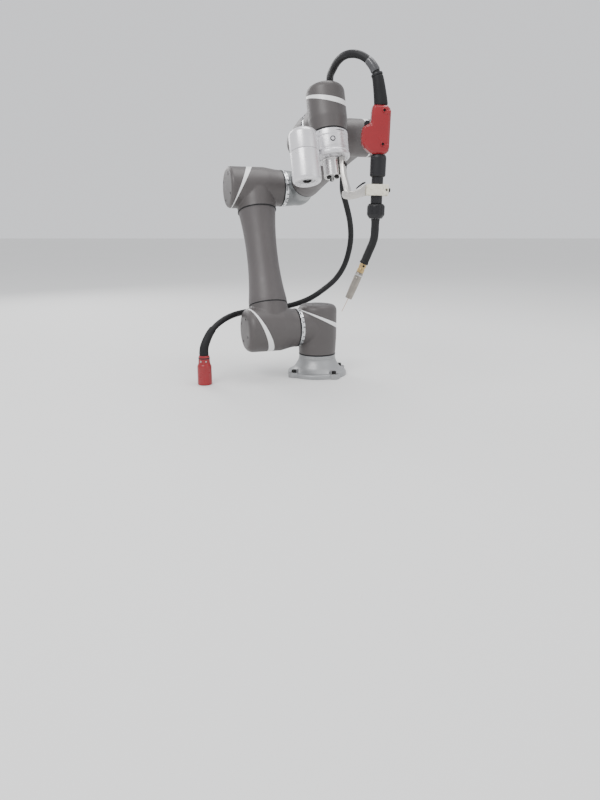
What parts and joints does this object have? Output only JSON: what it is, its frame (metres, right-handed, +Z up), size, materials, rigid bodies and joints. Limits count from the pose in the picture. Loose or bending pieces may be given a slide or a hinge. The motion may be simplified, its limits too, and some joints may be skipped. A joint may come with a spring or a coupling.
{
  "type": "collaborative robot arm",
  "caption": "Six-axis collaborative robot arm with slanted white inlays, a barrel camera at the wrist and a welding torch with its cable on a side bracket.",
  "frame": {"origin": "the point where the first joint's axis meets the base's bottom face", "axes": "+Z up along the first joint's axis; -Y towards the viewer of the picture; +X to that viewer's right"},
  "size_m": [0.4965, 0.6776, 0.8103],
  "materials": {
    "shell_grey": "satin warm dark grey paint",
    "inlay_white": "satin white light-guide strip",
    "seal_black": "matt black",
    "bright_ring": "turned, bright",
    "casting_silver": "satin silver paint on a casting",
    "flange_white": "satin silver-white",
    "drive_steel": "ground steel",
    "motor_copper": "wound stator",
    "lens_dark": "dark lens and window",
    "bracket_aluminium": "machined, clear anodised",
    "clamp_cream": "bead-blasted cream",
    "handle_red": "moulded red",
    "torch_black": "black rubber and nylon",
    "nozzle_nickel": "nickel plated"
  },
  "bodies": {
    "base": {"base_cable_gland": "torch_black", "base_casting": "casting_silver", "base_output_ring": "bright_ring", "cable_connector_boot": "handle_red", "torch_cable": "torch_black"},
    "shoulder": {"j1_motor": "motor_copper", "j1_strain_wave_gear": "drive_steel", "shoulder_cap": "shell_grey", "shoulder_housing": "shell_grey", "shoulder_inlay": "inlay_white", "shoulder_output_ring": "bright_ring", "shoulder_seal": "seal_black"},
    "upper_arm": {"elbow_cap": "shell_grey", "elbow_housing": "shell_grey", "elbow_inlay": "inlay_white", "elbow_seal": "seal_black", "j2_motor": "motor_copper", "j2_strain_wave_gear": "drive_steel", "j3_motor": "motor_copper", "j3_strain_wave_gear": "drive_steel", "upper_arm_lower_cap": "shell_grey", "upper_arm_lower_housing": "shell_grey", "upper_arm_lower_inlay": "inlay_white", "upper_arm_lower_seal": "seal_black", "upper_arm_tube": "shell_grey"},
    "forearm": {"forearm_casting": "casting_silver", "forearm_output_ring": "bright_ring", "forearm_seal": "seal_black", "forearm_tube": "shell_grey", "j4_drive_unit": "drive_steel", "wrist_1_cap": "shell_grey", "wrist_1_housing": "shell_grey", "wrist_1_inlay": "inlay_white", "wrist_1_seal": "seal_black"},
    "wrist_1": {"j5_drive_unit": "drive_steel", "wrist_2_cap": "shell_grey", "wrist_2_housing": "shell_grey", "wrist_2_inlay": "inlay_white", "wrist_2_output_ring": "bright_ring", "wrist_2_seal": "seal_black"},
    "wrist_2": {"j6_drive_unit": "drive_steel", "wrist_3_cap": "shell_grey", "wrist_3_housing": "shell_grey", "wrist_3_inlay": "inlay_white", "wrist_3_output_ring": "bright_ring", "wrist_3_seal": "seal_black"},
    "tool": {"camera_front_cover": "flange_white", "camera_lens_module": "lens_dark", "camera_rear_cover": "flange_white", "tool_flange_module": "flange_white", "torch_body": "torch_black", "torch_bracket": "bracket_aluminium", "torch_clamp": "clamp_cream", "torch_gooseneck": "torch_black", "torch_handle_front": "handle_red", "torch_handle_rear": "handle_red", "torch_nozzle": "nozzle_nickel", "torch_nut": "torch_black", "torch_spacer": "bracket_aluminium"},
    "free_button": {"free_button": "seal_black"}
  },
  "joints": [
    {"name": "j1_base_turn", "type": "hinge", "parent": "base", "child": "shoulder", "pos_m": [0, 0, 0.1452], "axis": [0, 0, 1], "range_deg": [-90, 90], "deforming": ["torch_cable"]},
    {"name": "j2_shoulder_lift", "type": "hinge", "parent": "shoulder", "child": "upper_arm", "pos_m": [0, 0, 0.1452], "axis": [-0.9367, -0.3502, 0], "range_deg": [-30, 60]},
    {"name": "j3_elbow", "type": "hinge", "parent": "upper_arm", "child": "forearm", "pos_m": [-0.05139, 0.13744, 0.54833], "axis": [-0.9367, -0.3502, 0], "range_deg": [-30, 100]},
    {"name": "j4_wrist_1", "type": "hinge", "parent": "forearm", "child": "wrist_1", "pos_m": [0.08832, -0.23623, 0.64927], "axis": [-0.9367, -0.3502, 0], "range_deg": [-60, 90]},
    {"name": "j5_wrist_2", "type": "hinge", "parent": "wrist_1", "child": "wrist_2", "pos_m": [-0.02623, -0.27906, 0.64927], "axis": [0.334, -0.8933, 0.3007], "range_deg": [-90, 75]},
    {"name": "j6_wrist_3", "type": "hinge", "parent": "wrist_2", "child": "tool", "pos_m": [0.00917, -0.37375, 0.68115], "axis": [0.0971, -0.2847, -0.9537], "range_deg": [-60, 60]},
    {"name": "free_button_press", "type": "slide", "parent": "tool", "child": "free_button", "axis": [-0.0948, 0.9512, -0.2936], "range_m": [0, 0.0012], "stiffness_N_per_m": 2500, "springref_m": -0.0006}
  ]
}
